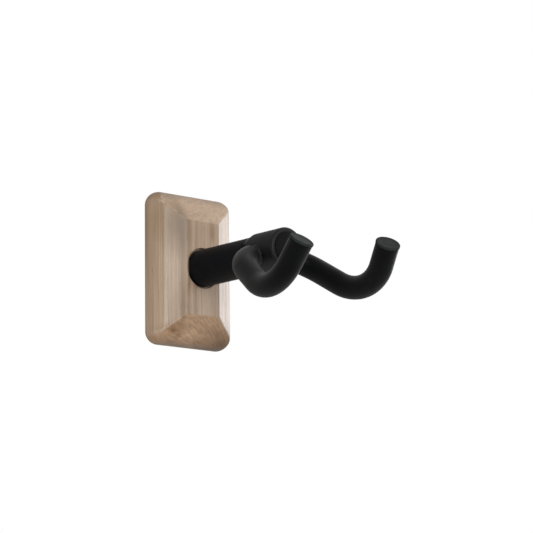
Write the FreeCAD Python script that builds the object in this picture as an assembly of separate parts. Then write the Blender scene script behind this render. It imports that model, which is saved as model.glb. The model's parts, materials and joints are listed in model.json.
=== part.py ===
import FreeCAD, Part
import math
import os

# Wall guitar hanger: a round-edged, bevelled hardwood block, a steel stem that stands out of its middle,
# and a two-armed yoke that swivels on the stem's front end. Millimetres, +Z up, +X to the right for
# someone who faces the wall, -Y out of the wall. The origin is on the wall, behind the stem's axis.
# "out" means the distance from the wall, so a point at out = 25 has y = -25.

# Wood block
# The rim is rounded all round: it is widest a little behind the middle of its thickness, with a
# chamfer at the wall, and four flat bevels cut its front down from the flat in the middle.
BLOCK_WIDTH = 60.0
BLOCK_HEIGHT = 93.0
BLOCK_DEPTH = 25.0
BLOCK_CORNER_RADIUS = 8.0
RIM_WIDEST_OUT = 9.2
RIM_REAR_RADIUS = 8.0
RIM_REAR_TURN = 45.0
RIM_FRONT_RADIUS = 12.0
FLAT_WIDTH = 24.4
FLAT_HEIGHT = 57.2
SIDE_BEVEL_SLOPE = 0.47
END_BEVEL_SLOPE = 0.62
BEVEL_EDGE_RADIUS = 2.0
RECESS_DIAMETER = 24.4
RECESS_DEPTH = 2.0

# Wall plate, in a pocket in the back of the block
PLATE_WIDTH = 34.0
PLATE_HEIGHT = 70.0
PLATE_THICKNESS = 3.0
PLATE_CORNER_RADIUS = 4.0
POCKET_SIDE_GAP = 0.5
POCKET_FLOOR_GAP = 0.5
WALL_HOLE_SPACING = 50.0
WALL_HOLE_DIAMETER = 5.5
COUNTERSINK_DIAMETER = 9.5

# Weld nut, M10
NUT_ACROSS_FLATS = 17.0
NUT_HEIGHT = 8.0
NUT_CHAMFER_DIAMETER = 16.2
NUT_ROOM_DIAMETER = 21.0

# Stem: M10 stud, shaft, flange and spigot in one turned piece
STUD_DIAMETER = 10.0
STUD_HOLE_DIAMETER = 11.0
STUD_END_GAP = 0.6
CLAMP_WASHER_DIAMETER = 17.0
CLAMP_WASHER_HOLE = 10.5
CLAMP_WASHER_THICKNESS = 1.5
SHAFT_DIAMETER = 16.0
SLEEVE_DIAMETER = 22.4
SLEEVE_EDGE_RADIUS = 1.2
FLANGE_THICKNESS = 3.0
FLANGE_FRONT = 76.0
FLANGE_FLATS = 19.0
SPIGOT_DIAMETER = 10.0
SPIGOT_LENGTH = 17.0

# Swivel
HUB_DIAMETER = 25.0
HUB_LENGTH = 25.0
HUB_EDGE_RADIUS = 1.5
HUB_BORE = 13.0
HUB_MOUTH_DIAMETER = 18.0
BUSH_LENGTH = 14.0
RUNNING_CLEARANCE = 0.05
END_FLOAT = 0.05
THRUST_WASHER_THICKNESS = 1.0
WASHER_HOLE_DIAMETER = 10.6
REAR_THRUST_WASHER_DIAMETER = 22.0
FRONT_THRUST_WASHER_DIAMETER = 17.0
WAVE_WASHER_DIAMETER = 16.0
WAVE_WASHER_THICKNESS = 0.3
WAVE_WASHER_RISE = 0.5
WAVES = 3
RETAINING_WASHER_DIAMETER = 16.4
RETAINING_WASHER_HOLE = 5.3
RETAINING_WASHER_THICKNESS = 1.6
PIVOT_SCREW_DIAMETER = 5.0
PIVOT_SCREW_LENGTH = 12.0
PIVOT_HEAD_DIAMETER = 9.5
PIVOT_HEAD_HEIGHT = 2.75
PIVOT_SOCKET_FLATS = 3.0
PIVOT_SOCKET_DEPTH = 1.6
CAP_FLANGE_DIAMETER = 20.0
CAP_FLANGE_THICKNESS = 0.8
CAP_CROWN = 0.9
CAP_SKIRT_LENGTH = 3.2
CAP_SKIRT_WALL = 1.2

# Stop pin in the flange, and its curved slot in the back of the hub
STOP_PIN_DIAMETER = 2.5
STOP_PIN_LENGTH = 6.0
STOP_PIN_RADIUS = 8.9
STOP_SLOT_DEPTH = 3.0
STOP_SLOT_GAP = 0.4
SWIVEL_EACH_WAY = 30.0
REST_SWIVEL = 5.2

# Arms. The route is the centre line of the right arm with the yoke upright, from the hub's axis.
# The two bends between the three straight runs have the radii below.
ROD_DIAMETER = 8.0
ARM_DIAMETER = 14.0
ARM_OUT = 86.0
ARM_ROUTE = [
    (0.0, -ARM_OUT, 0.0),
    (25.0, -ARM_OUT, -5.0),
    (38.0, -127.0, -34.0),
    (33.0, -150.8, -3.5),
]
ARM_BENDS = [20.0, 24.0]
ROD_START = 8.8
SLEEVE_START = 15.6
TIP_CAP_THICKNESS = 1.6
TIP_CAP_LIP = 0.25
TIP_CAP_EDGE_RADIUS = 0.5
TIP_PLUG_LENGTH = 4.0
WELD_DIAMETER_AT_HUB = 13.0
WELD_DIAMETER_AT_ROD = 8.6
WELD_END = 14.6

# Worked out from the values above
RECESS_FLOOR = BLOCK_DEPTH - RECESS_DEPTH
WASHER_BACK = RECESS_FLOOR - CLAMP_WASHER_THICKNESS
POCKET_DEPTH = PLATE_THICKNESS + POCKET_FLOOR_GAP
NUT_FRONT = PLATE_THICKNESS + NUT_HEIGHT
FLANGE_BACK = FLANGE_FRONT - FLANGE_THICKNESS
SPIGOT_FRONT = FLANGE_FRONT + SPIGOT_LENGTH
HUB_BACK = FLANGE_FRONT + THRUST_WASHER_THICKNESS + END_FLOAT
HUB_FRONT = HUB_BACK + HUB_LENGTH
BUSH_FRONT = HUB_BACK + BUSH_LENGTH
PIVOT_HEAD_BACK = SPIGOT_FRONT + RETAINING_WASHER_THICKNESS
PIN_BACK = FLANGE_BACK
PIN_FRONT = PIN_BACK + STOP_PIN_LENGTH


def vector(x, out, z):
    return FreeCAD.Vector(x, -out, z)


OUTWARD = vector(0, 1, 0)


def cylinder(diameter, out_from, out_to, x=0.0, z=0.0):
    """A cylinder parallel to the stem's axis, between two distances from the wall."""
    return Part.makeCylinder(diameter / 2, out_to - out_from, vector(x, out_from, z), OUTWARD)


def ring(outer, inner, out_from, out_to):
    """A flat ring on the stem's axis."""
    return cylinder(outer, out_from, out_to).cut(cylinder(inner, out_from - 1, out_to + 1))


def block(width, height, out_from, out_to):
    """A box centred on the stem's axis."""
    return Part.makeBox(width, out_to - out_from, height, vector(-width / 2, out_to, -height / 2))


def rounded_block(width, height, radius, out_from, out_to):
    """A box whose four edges across the wall are rounded."""
    box = block(width, height, out_from, out_to)
    across = [edge for edge in box.Edges if abs(edge.tangentAt(0).y) > 0.9]
    return box.makeFillet(radius, across)


def hexagon(across_flats, out_from, out_to):
    """A hexagonal prism on the stem's axis."""
    corner = across_flats / math.sqrt(3)
    angles = [math.radians(60 * step) for step in range(7)]
    points = [vector(corner * math.cos(a), out_from, corner * math.sin(a)) for a in angles]
    return Part.Face(Part.makePolygon(points)).extrude(OUTWARD * (out_to - out_from))


def turned(profile):
    """A solid of revolution about the stem's axis, from (radius, out) points joined by lines."""
    points = [vector(radius, out, 0) for radius, out in profile]
    face = Part.Face(Part.makePolygon(points + points[:1]))
    return face.revolve(vector(0, 0, 0), OUTWARD, 360)


def rounded_ends(shape, radius, out):
    """Round the widest circular edge of a turned shape at one distance from the wall."""
    level = [e for e in shape.Edges if abs(e.CenterOfMass.y + out) < 1e-6 and e.BoundBox.YLength < 1e-6]
    widest = max(level, key=lambda edge: edge.BoundBox.XLength)
    return shape.makeFillet(radius, [widest])


# ---------------------------------------------------------------- wood block and wall plate


def rim_section(widest, inward):
    """A face across the rim, from its widest line inwards as far as the centre of the corners."""
    turn = math.radians(RIM_REAR_TURN)

    def place(inset, out):
        return widest + inward * inset + OUTWARD * out

    def rear(angle):
        drop = RIM_REAR_RADIUS * math.sin(angle)
        return place(RIM_REAR_RADIUS * (1 - math.cos(angle)), RIM_WIDEST_OUT - drop)

    def front(angle):
        rise = RIM_FRONT_RADIUS * math.sin(angle)
        return place(RIM_FRONT_RADIUS * (1 - math.cos(angle)), RIM_WIDEST_OUT + rise)

    last = math.acos(1 - BLOCK_CORNER_RADIUS / RIM_FRONT_RADIUS)
    chamfer_out = RIM_WIDEST_OUT - RIM_REAR_RADIUS * math.sin(turn)
    chamfer_inset = RIM_REAR_RADIUS * (1 - math.cos(turn)) + chamfer_out / math.tan(turn)
    heel = place(chamfer_inset, 0)
    curves = [
        Part.Arc(rear(turn), rear(turn / 2), rear(0)).toShape(),
        Part.Arc(front(0), front(last / 2), front(last)).toShape(),
    ]
    rest = Part.makePolygon([front(last), place(BLOCK_CORNER_RADIUS, 0), heel, rear(turn)])
    return Part.Face(Part.Wire(curves + rest.Edges))


def round_edged_block():
    """The block before it is bevelled: a core, four rounded rims, and a quarter turn at each corner."""
    right = vector(1, 0, 0)
    upward = vector(0, 0, 1)
    across = BLOCK_WIDTH / 2 - BLOCK_CORNER_RADIUS
    up = BLOCK_HEIGHT / 2 - BLOCK_CORNER_RADIUS
    body = block(2 * across, 2 * up, 0, BLOCK_DEPTH)
    sides = [
        (right, across, upward, up),
        (right * -1, across, upward * -1, up),
        (upward, up, right * -1, across),
        (upward * -1, up, right, across),
    ]
    for sideways, corner_reach, along, half_length in sides:
        corner = sideways * corner_reach - along * half_length
        section = rim_section(corner + sideways * BLOCK_CORNER_RADIUS, sideways * -1)
        body = body.fuse(section.extrude(along * (2 * half_length)))
        body = body.fuse(section.revolve(corner, OUTWARD, -90))
    return body.removeSplitter()


def bevel_planes():
    """A blunt pyramid whose top is the block's flat and whose sides are the four bevels."""
    foot_width = FLAT_WIDTH + 2 * BLOCK_DEPTH / SIDE_BEVEL_SLOPE
    foot_height = FLAT_HEIGHT + 2 * BLOCK_DEPTH / END_BEVEL_SLOPE
    levels = []
    for width, height, out in ((foot_width, foot_height, 0), (FLAT_WIDTH, FLAT_HEIGHT, BLOCK_DEPTH)):
        x = width / 2
        z = height / 2
        levels.append([vector(x, out, z), vector(-x, out, z), vector(-x, out, -z), vector(x, out, -z)])
    foot, top = levels
    outlines = [foot, top]
    for corner in range(4):
        after = (corner + 1) % 4
        outlines.append([foot[corner], foot[after], top[after], top[corner]])
    faces = [Part.Face(Part.makePolygon(outline + outline[:1])) for outline in outlines]
    return Part.makeSolid(Part.makeShell(faces))


def sanded(solid):
    """Round the edges of the flat and its four hips, then the feet of the bevels."""
    upper = []
    for edge in solid.Edges:
        highest = max(-vertex.Point.y for vertex in edge.Vertexes)
        if highest > BLOCK_DEPTH - 0.01:
            upper.append(edge)
    solid = solid.makeFillet(BEVEL_EDGE_RADIUS, upper)
    feet = []
    for edge in solid.Edges:
        in_front = -edge.BoundBox.YMax > RIM_WIDEST_OUT + 1
        if in_front and edge.BoundBox.XLength > FLAT_WIDTH:
            feet.append(edge)
    return solid.makeFillet(BEVEL_EDGE_RADIUS, feet)


def wood_block():
    """The block with its pocket for the wall plate, and a shallow recess for the foot of the stem."""
    body = sanded(Part.Solid(round_edged_block().common(bevel_planes()).Solids[0]))
    pocket_width = PLATE_WIDTH + 2 * POCKET_SIDE_GAP
    pocket_height = PLATE_HEIGHT + 2 * POCKET_SIDE_GAP
    pocket_corner = PLATE_CORNER_RADIUS + POCKET_SIDE_GAP
    body = body.cut(rounded_block(pocket_width, pocket_height, pocket_corner, -1, POCKET_DEPTH))
    body = body.cut(cylinder(NUT_ROOM_DIAMETER, 0, NUT_FRONT + 1))
    body = body.cut(cylinder(STUD_HOLE_DIAMETER, 0, BLOCK_DEPTH + 1))
    body = body.cut(cylinder(RECESS_DIAMETER, RECESS_FLOOR, BLOCK_DEPTH + 1))
    return body.cut(cylinder(CLAMP_WASHER_DIAMETER + 0.2, WASHER_BACK, BLOCK_DEPTH + 1))


def plate():
    body = rounded_block(PLATE_WIDTH, PLATE_HEIGHT, PLATE_CORNER_RADIUS, 0, PLATE_THICKNESS)
    sink_depth = (COUNTERSINK_DIAMETER - WALL_HOLE_DIAMETER) / 2
    for side in (1, -1):
        z = side * WALL_HOLE_SPACING / 2
        body = body.cut(cylinder(WALL_HOLE_DIAMETER, -1, PLATE_THICKNESS + 1, 0, z))
        sink = Part.makeCone(
            WALL_HOLE_DIAMETER / 2,
            COUNTERSINK_DIAMETER / 2,
            sink_depth,
            vector(0, PLATE_THICKNESS - sink_depth, z),
            OUTWARD,
        )
        body = body.cut(sink)
    return body


def nut():
    body = hexagon(NUT_ACROSS_FLATS, PLATE_THICKNESS, NUT_FRONT)
    corner_diameter = NUT_ACROSS_FLATS * 2 / math.sqrt(3)
    drop = (corner_diameter - NUT_CHAMFER_DIAMETER) / 2 * math.tan(math.radians(30))
    crown = turned(
        [
            (0, PLATE_THICKNESS),
            (corner_diameter / 2, PLATE_THICKNESS),
            (corner_diameter / 2, NUT_FRONT - drop),
            (NUT_CHAMFER_DIAMETER / 2, NUT_FRONT),
            (0, NUT_FRONT),
        ]
    )
    return body.common(crown).cut(cylinder(STUD_DIAMETER, PLATE_THICKNESS - 1, NUT_FRONT + 1))


# ---------------------------------------------------------------- stem


def stop_pin_at(out_from, out_to, diameter):
    """The stop pin stands above the stem's axis."""
    return cylinder(diameter, out_from, out_to, 0, STOP_PIN_RADIUS)


def shaft():
    """The stud, the shaft, a flange with two spanner flats, and the spigot that the hub turns on."""
    stud_back = PLATE_THICKNESS + STUD_END_GAP
    chamfer = 1.0
    body = turned(
        [
            (0, stud_back),
            (STUD_DIAMETER / 2 - chamfer, stud_back),
            (STUD_DIAMETER / 2, stud_back + chamfer),
            (STUD_DIAMETER / 2, RECESS_FLOOR),
            (SHAFT_DIAMETER / 2, RECESS_FLOOR),
            (SHAFT_DIAMETER / 2, FLANGE_BACK),
            (SLEEVE_DIAMETER / 2, FLANGE_BACK),
            (SLEEVE_DIAMETER / 2, FLANGE_FRONT),
            (SPIGOT_DIAMETER / 2, FLANGE_FRONT),
            (SPIGOT_DIAMETER / 2, SPIGOT_FRONT),
            (0, SPIGOT_FRONT),
        ]
    )
    for side in (1, -1):
        middle = side * (FLANGE_FLATS / 2 + SLEEVE_DIAMETER / 2)
        flat = block(SLEEVE_DIAMETER, 2 * SLEEVE_DIAMETER, FLANGE_BACK, FLANGE_FRONT)
        body = body.cut(flat.translated(vector(middle, 0, 0)))
    screw_end = PIVOT_HEAD_BACK - PIVOT_SCREW_LENGTH
    body = body.cut(cylinder(PIVOT_SCREW_DIAMETER, screw_end - 2, SPIGOT_FRONT + 1))
    return body.cut(stop_pin_at(PIN_BACK, PIN_FRONT, STOP_PIN_DIAMETER))


def stem_cover():
    body = ring(SLEEVE_DIAMETER, SHAFT_DIAMETER, RECESS_FLOOR, FLANGE_BACK)
    return rounded_ends(body, SLEEVE_EDGE_RADIUS, RECESS_FLOOR)


def rear_thrust_ring():
    front = FLANGE_FRONT + THRUST_WASHER_THICKNESS
    body = ring(REAR_THRUST_WASHER_DIAMETER, WASHER_HOLE_DIAMETER, FLANGE_FRONT, front)
    return body.cut(stop_pin_at(PIN_BACK, PIN_FRONT, STOP_PIN_DIAMETER))


def front_thrust_ring():
    return ring(
        FRONT_THRUST_WASHER_DIAMETER,
        WASHER_HOLE_DIAMETER,
        BUSH_FRONT,
        BUSH_FRONT + THRUST_WASHER_THICKNESS,
    )


def wavy_circle(diameter, middle):
    """A closed curve round the stem's axis that rises and falls a few times."""
    points = []
    steps = 8 * WAVES
    for step in range(steps):
        angle = 2 * math.pi * step / steps
        out = middle + WAVE_WASHER_RISE / 2 * math.sin(WAVES * angle)
        points.append(vector(diameter / 2 * math.cos(angle), out, diameter / 2 * math.sin(angle)))
    curve = Part.BSplineCurve()
    curve.interpolate(Points=points, PeriodicFlag=True)
    return curve.toShape()


def wave_ring():
    gap_back = BUSH_FRONT + THRUST_WASHER_THICKNESS
    middle = (gap_back + SPIGOT_FRONT - WAVE_WASHER_THICKNESS) / 2
    inner = wavy_circle(WASHER_HOLE_DIAMETER, middle)
    outer = wavy_circle(WAVE_WASHER_DIAMETER, middle)
    return Part.makeRuledSurface(inner, outer).extrude(OUTWARD * WAVE_WASHER_THICKNESS)


def retaining_ring():
    return ring(RETAINING_WASHER_DIAMETER, RETAINING_WASHER_HOLE, SPIGOT_FRONT, PIVOT_HEAD_BACK)


def button_screw():
    """A button-head screw with a hexagonal socket. The head is part of a sphere."""
    head_radius = PIVOT_HEAD_DIAMETER / 2
    top_radius = head_radius * 0.45
    front = PIVOT_HEAD_BACK + PIVOT_HEAD_HEIGHT
    shank_back = PIVOT_HEAD_BACK - PIVOT_SCREW_LENGTH
    rim = vector(head_radius, PIVOT_HEAD_BACK, 0)
    bulge = vector(head_radius * 0.85, PIVOT_HEAD_BACK + PIVOT_HEAD_HEIGHT * 0.62, 0)
    top = vector(top_radius, front, 0)
    dome = Part.Arc(rim, bulge, top).toShape()
    rest = Part.makePolygon(
        [
            top,
            vector(0, front, 0),
            vector(0, shank_back, 0),
            vector(PIVOT_SCREW_DIAMETER / 2, shank_back, 0),
            vector(PIVOT_SCREW_DIAMETER / 2, PIVOT_HEAD_BACK, 0),
            rim,
        ]
    )
    profile = Part.Wire([dome] + rest.Edges)
    body = Part.Face(profile).revolve(vector(0, 0, 0), OUTWARD, 360)
    return body.cut(hexagon(PIVOT_SOCKET_FLATS, front - PIVOT_SOCKET_DEPTH, front + 1))


# ---------------------------------------------------------------- arms


def bend_between(before, corner, after, radius):
    """The arc that rounds a corner of the route, and where it starts and stops."""
    back = (before - corner).normalize()
    forward = (after - corner).normalize()
    half = back.getAngle(forward) / 2
    reach = radius / math.tan(half)
    bisector = (back + forward).normalize()
    start = corner + back * reach
    stop = corner + forward * reach
    nearest = corner + bisector * (radius / math.sin(half) - radius)
    return start, stop, Part.Arc(start, nearest, stop).toShape()


def arm_edges():
    """The centre line of the right arm: straight runs joined by tangent arcs."""
    points = [FreeCAD.Vector(*point) for point in ARM_ROUTE]
    edges = []
    here = points[0]
    for number, radius in enumerate(ARM_BENDS):
        start, stop, arc = bend_between(points[number], points[number + 1], points[number + 2], radius)
        edges.append(Part.makeLine(here, start))
        edges.append(arc)
        here = stop
    edges.append(Part.makeLine(here, points[-1]))
    return edges


def stretch(edges, start, stop):
    """The part of a chain of edges between two distances along it."""
    kept = []
    passed = 0.0
    for edge in edges:
        low = max(start - passed, 0.0)
        high = min(stop - passed, edge.Length)
        if high - low > 1e-6:
            first = edge.getParameterByLength(low)
            last = edge.getParameterByLength(high)
            kept.append(edge.Curve.toShape(first, last))
        passed += edge.Length
    return kept


def round_bar(edges, diameter):
    """A bar of round section along a chain of edges."""
    first = edges[0]
    start = first.valueAt(first.FirstParameter)
    direction = first.tangentAt(first.FirstParameter)
    section = Part.Wire([Part.makeCircle(diameter / 2, start, direction)])
    return Part.Wire(edges).makePipeShell([section], True, True)


ARM_EDGES = arm_edges()
ARM_LENGTH = sum(edge.Length for edge in ARM_EDGES)
ROOT_DIRECTION = (FreeCAD.Vector(*ARM_ROUTE[1]) - FreeCAD.Vector(*ARM_ROUTE[0])).normalize()
TIP_DIRECTION = (FreeCAD.Vector(*ARM_ROUTE[3]) - FreeCAD.Vector(*ARM_ROUTE[2])).normalize()
TIP_POINT = FreeCAD.Vector(*ARM_ROUTE[3])


def arm_rod():
    rod_stop = ARM_LENGTH - TIP_CAP_THICKNESS - TIP_PLUG_LENGTH
    return round_bar(stretch(ARM_EDGES, ROD_START, rod_stop), ROD_DIAMETER)


def arm_cover():
    edges = stretch(ARM_EDGES, SLEEVE_START, ARM_LENGTH - TIP_CAP_THICKNESS)
    return round_bar(edges, ARM_DIAMETER).cut(round_bar(edges, ROD_DIAMETER))


def end_plug():
    """A disc over the end of the arm's tube, with a plug that fills the tube's bore."""
    face_back = TIP_POINT - TIP_DIRECTION * TIP_CAP_THICKNESS
    plug_back = face_back - TIP_DIRECTION * TIP_PLUG_LENGTH
    disc = Part.makeCylinder(ARM_DIAMETER / 2 + TIP_CAP_LIP, TIP_CAP_THICKNESS, face_back, TIP_DIRECTION)
    rims = [edge for edge in disc.Edges if edge.BoundBox.DiagonalLength > ARM_DIAMETER and edge.isClosed()]
    disc = disc.makeFillet(TIP_CAP_EDGE_RADIUS, rims)
    return disc.fuse(Part.makeCylinder(ROD_DIAMETER / 2, TIP_PLUG_LENGTH, plug_back, TIP_DIRECTION))


# ---------------------------------------------------------------- hub


def stop_slot():
    """The curved slot that the stop pin runs in, with round ends."""
    width = STOP_PIN_DIAMETER + 2 * STOP_SLOT_GAP
    front = HUB_BACK + STOP_SLOT_DEPTH
    outer = cylinder(2 * STOP_PIN_RADIUS + width, HUB_BACK - 1, front)
    band = outer.cut(cylinder(2 * STOP_PIN_RADIUS - width, HUB_BACK - 2, front + 1))
    sweep = math.radians(SWIVEL_EACH_WAY)
    reach = HUB_DIAMETER
    wedge_points = [
        vector(0, HUB_BACK - 2, 0),
        vector(-reach * math.sin(sweep), HUB_BACK - 2, reach * math.cos(sweep)),
        vector(0, HUB_BACK - 2, 2 * reach),
        vector(reach * math.sin(sweep), HUB_BACK - 2, reach * math.cos(sweep)),
    ]
    outline = Part.makePolygon(wedge_points + wedge_points[:1])
    wedge = Part.Face(outline).extrude(OUTWARD * (STOP_SLOT_DEPTH + 4))
    slot = band.common(wedge)
    for side in (1, -1):
        x = side * STOP_PIN_RADIUS * math.sin(sweep)
        z = STOP_PIN_RADIUS * math.cos(sweep)
        slot = slot.fuse(cylinder(width, HUB_BACK - 1, front, x, z))
    return slot


def hub(rods):
    body = cylinder(HUB_DIAMETER, HUB_BACK, HUB_FRONT)
    body = rounded_ends(body, HUB_EDGE_RADIUS, HUB_BACK)
    body = rounded_ends(body, HUB_EDGE_RADIUS, HUB_FRONT)
    body = body.cut(cylinder(HUB_BORE, HUB_BACK - 1, HUB_FRONT + 1))
    body = body.cut(cylinder(HUB_MOUTH_DIAMETER, BUSH_FRONT, HUB_FRONT + 1))
    body = body.cut(stop_slot())
    for rod in rods:
        body = body.cut(rod)
    return body


def weld(rod):
    """A conical bead at the root of the right arm, shaped to the hub and the rod."""
    root = FreeCAD.Vector(*ARM_ROUTE[0])
    inside = HUB_DIAMETER / 2 - 2.5
    bead = Part.makeCone(
        WELD_DIAMETER_AT_HUB / 2,
        WELD_DIAMETER_AT_ROD / 2,
        WELD_END - inside,
        root + ROOT_DIRECTION * inside,
        ROOT_DIRECTION,
    )
    return bead.cut(cylinder(HUB_DIAMETER, HUB_BACK, HUB_FRONT)).cut(rod)


def bush():
    return ring(HUB_BORE, SPIGOT_DIAMETER + 2 * RUNNING_CLEARANCE, HUB_BACK, BUSH_FRONT)


def cap():
    """A push-in cap with a low spherical crown. Its skirt grips the hub's mouth."""
    crown_front = HUB_FRONT + CAP_FLANGE_THICKNESS + CAP_CROWN
    rim_radius = CAP_FLANGE_DIAMETER / 2
    crown_radius = (rim_radius**2 + CAP_CROWN**2) / (2 * CAP_CROWN)
    ball = Part.makeSphere(crown_radius, vector(0, crown_front - crown_radius, 0))
    disc = cylinder(CAP_FLANGE_DIAMETER, HUB_FRONT, crown_front).common(ball)
    skirt_bore = HUB_MOUTH_DIAMETER - 2 * CAP_SKIRT_WALL
    skirt = ring(HUB_MOUTH_DIAMETER, skirt_bore, HUB_FRONT - CAP_SKIRT_LENGTH, HUB_FRONT)
    return disc.fuse(skirt).removeSplitter()


# ---------------------------------------------------------------- assembly


def mirrored(shape):
    """The left-hand copy of a right-hand piece."""
    return shape.mirror(FreeCAD.Vector(0, 0, 0), FreeCAD.Vector(1, 0, 0))


def swivelled(shape):
    """Turn a piece of the yoke to its rest position, with the right arm raised a little."""
    turned_shape = shape.copy()
    turned_shape.rotate(vector(0, 0, 0), OUTWARD, REST_SWIVEL)
    return turned_shape


def fixed_pieces():
    return {
        "wood_base": wood_block(),
        "wall_plate": plate(),
        "weld_nut": nut(),
        "clamp_washer": ring(
            CLAMP_WASHER_DIAMETER,
            CLAMP_WASHER_HOLE,
            WASHER_BACK,
            RECESS_FLOOR,
        ),
        "stem_shaft": shaft(),
        "stem_sleeve": stem_cover(),
        "stop_pin": stop_pin_at(PIN_BACK, PIN_FRONT, STOP_PIN_DIAMETER),
        "rear_thrust_washer": rear_thrust_ring(),
        "wave_washer": wave_ring(),
        "retaining_washer": retaining_ring(),
        "pivot_screw": button_screw(),
    }


def yoke_pieces():
    rod = arm_rod()
    pair = {
        "arm_rod": rod,
        "arm_sleeve": arm_cover(),
        "tip_cap": end_plug(),
        "weld": weld(rod),
    }
    pieces = {
        "yoke_hub": hub([rod, mirrored(rod)]),
        "hub_bush": bush(),
        "front_thrust_washer": front_thrust_ring(),
        "hub_cap": cap(),
    }
    for name, shape in pair.items():
        pieces["right_" + name] = shape
        pieces["left_" + name] = mirrored(shape)
    return {name: swivelled(shape) for name, shape in pieces.items()}


def main():
    os.makedirs("parts", exist_ok=True)
    pieces = fixed_pieces()
    pieces.update(yoke_pieces())
    for name, shape in pieces.items():
        assert shape.isValid(), name
        assert len(shape.Solids) == 1, name
        shape.Solids[0].exportStep("parts/" + name + ".step")
        print(name, "volume", round(shape.Volume, 1))


main()
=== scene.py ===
import json
import math

import bpy
from mathutils import Matrix, Vector, noise


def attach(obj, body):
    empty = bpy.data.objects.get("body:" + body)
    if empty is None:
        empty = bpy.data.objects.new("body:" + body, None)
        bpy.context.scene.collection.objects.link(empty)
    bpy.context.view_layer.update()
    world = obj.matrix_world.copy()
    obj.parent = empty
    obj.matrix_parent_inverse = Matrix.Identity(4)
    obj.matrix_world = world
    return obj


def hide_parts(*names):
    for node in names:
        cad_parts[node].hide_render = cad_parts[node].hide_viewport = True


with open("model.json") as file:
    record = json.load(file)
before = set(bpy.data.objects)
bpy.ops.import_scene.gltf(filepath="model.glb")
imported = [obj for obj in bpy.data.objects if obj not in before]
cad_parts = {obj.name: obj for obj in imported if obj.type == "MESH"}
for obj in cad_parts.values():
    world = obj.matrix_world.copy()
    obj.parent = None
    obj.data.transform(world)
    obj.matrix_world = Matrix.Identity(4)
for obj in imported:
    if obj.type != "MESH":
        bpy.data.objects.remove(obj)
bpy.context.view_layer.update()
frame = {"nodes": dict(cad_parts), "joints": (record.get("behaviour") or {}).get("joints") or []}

# Wall guitar hanger, in metres: +Z up, +X right, -Y out of the wall, origin on the wall behind the
# stem's axis. "out" means the distance from the wall. MM turns millimetres into metres.
MM = 0.001
OUTWARD = Vector((0, -1, 0))

# Wood block: a rounded rim, widest at RIM_WIDEST_OUT, and four bevels round a flat. A BLEND is how
# far a crease is rounded off
BLOCK_WIDTH = 60.0 * MM
BLOCK_HEIGHT = 93.0 * MM
BLOCK_DEPTH = 25.0 * MM
BLOCK_CORNER = 8.0 * MM
SMALLEST_CORNER = 0.4 * MM
RIM_WIDEST_OUT = 9.2 * MM
RIM_REAR_RADIUS = 8.0 * MM
RIM_REAR_TURN = math.radians(45)
RIM_FRONT_RADIUS = 12.0 * MM
RIM_FRONT_TURN = math.radians(68)
RIM_BLEND_MOST = 1.6 * MM
RIM_BLEND_RATE = 0.9 * MM
FLAT_HALF_WIDTH = 12.2 * MM
FLAT_HALF_HEIGHT = 28.6 * MM
SIDE_SLOPE = 0.47
END_SLOPE = 0.62
HIP_BLEND = 0.49 * MM
HIP_CORNER = 1.0 * MM
FLAT_BLEND = 0.26 * MM
FACE_WAVE = 0.04 * MM
FACE_WAVES_PER_METRE = 60

# Holes in the block: a recess round the stem in front, room for the washer, stud and nut, and a
# pocket for the wall plate behind
RECESS_RADIUS = 12.2 * MM
RECESS_FLOOR = 23.0 * MM
RECESS_EDGE = 0.3 * MM
WASHER_SEAT_RADIUS = 8.6 * MM
WASHER_SEAT_OUT = 21.5 * MM
STUD_HOLE_RADIUS = 5.5 * MM
NUT_ROOM_RADIUS = 10.5 * MM
NUT_ROOM_DEPTH = 12.0 * MM
POCKET_WIDTH = 35.0 * MM
POCKET_HEIGHT = 71.0 * MM
POCKET_CORNER = 4.5 * MM
POCKET_DEPTH = 3.5 * MM

# Stem cover
STEM_RADIUS = 11.2 * MM
SHAFT_RADIUS = 8.0 * MM
STEM_FRONT = 73.0 * MM
STEM_BACK_EDGE = 1.2 * MM
STEM_FRONT_EDGE = 0.5 * MM

# Hub and its cap. A fan of faces closes the small rings at the cap's middle
HUB_RADIUS = 12.5 * MM
HUB_FRONT = 102.05 * MM
CAP_RADIUS = 10.0 * MM
CAP_RIM = 0.8 * MM
CAP_EDGE = 0.35 * MM
CAP_CROWN = 0.9 * MM
CAP_SKIRT_RADIUS = 9.0 * MM
CAP_SKIRT_WALL = 1.2 * MM
CAP_SKIRT_LENGTH = 3.2 * MM
CAP_BACK_MIDDLE = 0.5 * MM
CAP_FRONT_MIDDLE = 0.4 * MM

# Arms: the centre line of the right arm with the yoke upright
ARM_ROUTE = [
    Vector((0.0, -86.0, 0.0)) * MM,
    Vector((25.0, -86.0, -5.0)) * MM,
    Vector((38.0, -127.0, -34.0)) * MM,
    Vector((33.0, -150.8, -3.5)) * MM,
]
ARM_BENDS = [20.0 * MM, 24.0 * MM]
ROD_RADIUS = 4.0 * MM
ARM_RADIUS = 7.0 * MM
ARM_START = 15.6 * MM
ARM_END_ROUND = 0.5 * MM
ARM_SWELL = 0.06 * MM
ARM_SWELLS_PER_METRE = 90

# End plugs: the face has a rim, which falls a little inwards to a step down to the sunk middle
TIP_THICKNESS = 1.6 * MM
TIP_LIP = 0.25 * MM
TIP_PLUG = 4.0 * MM
TIP_BACK_EDGE = 0.3 * MM
TIP_FRONT_EDGE = 0.55 * MM
TIP_RIM_WIDTH = 1.0 * MM
TIP_RIM_FALL = 0.02 * MM
TIP_STEP_WIDTH = 0.4 * MM
TIP_SUNK = 0.12 * MM
TIP_MIDDLE = 0.6 * MM

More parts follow.
